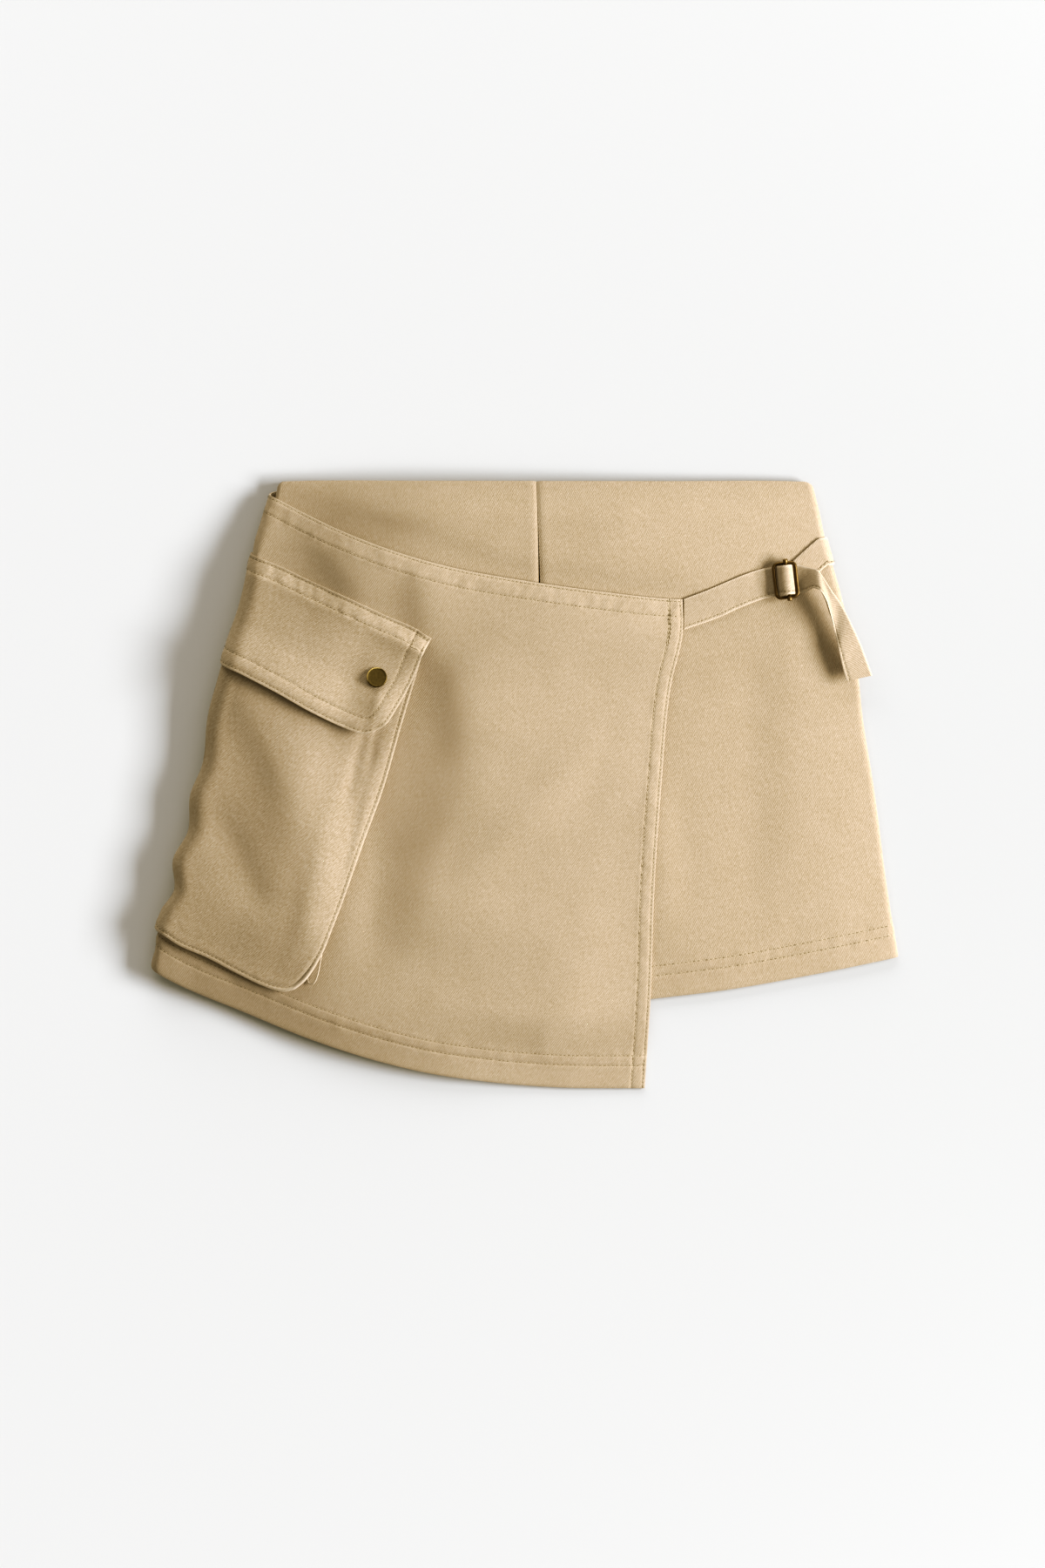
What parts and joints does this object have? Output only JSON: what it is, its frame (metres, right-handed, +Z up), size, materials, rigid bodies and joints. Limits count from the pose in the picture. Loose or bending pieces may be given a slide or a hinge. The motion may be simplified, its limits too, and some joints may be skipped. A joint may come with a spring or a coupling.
{
  "type": "wrap skort",
  "caption": "Short twill skort laid flat: shorts under a wrap panel with a bellows cargo pocket, a snapped flap and a strap through a side buckle.",
  "frame": {"origin": "bottom centre of the bounding box of the garment laid on its back: on the surface that it lies on, halfway across and halfway down", "axes": "+X towards the buckle side, the wearer's left, and across the garment; +Y from the hem up to the waist; +Z up, out of the front of the garment"},
  "size_m": [0.4953, 0.4046, 0.0262],
  "materials": {
    "shorts_twill": "matt cotton twill with a fine diagonal line",
    "wrap_twill": "matt cotton twill with a fine diagonal line",
    "pocket_twill": "matt cotton twill with a fine diagonal line",
    "flap_twill": "matt cotton twill with a fine diagonal line",
    "strap_twill": "matt cotton twill with a fine diagonal line",
    "tab_twill": "matt cotton twill with a fine diagonal line",
    "snap_brass": "dark antique brass, half polished",
    "buckle_brass": "dark antique brass, half polished"
  },
  "bodies": {
    "root": {"shorts_front_right": "shorts_twill", "shorts_front_left": "shorts_twill", "shorts_back_right": "shorts_twill", "shorts_back_left": "shorts_twill", "wrap_panel": "wrap_twill", "pocket_face": "pocket_twill", "pocket_gusset": "pocket_twill", "pocket_flap": "flap_twill", "snap_cap": "snap_brass", "strap": "strap_twill", "side_tab": "tab_twill", "buckle_frame": "buckle_brass", "buckle_bar": "buckle_brass"}
  },
  "joints": []
}
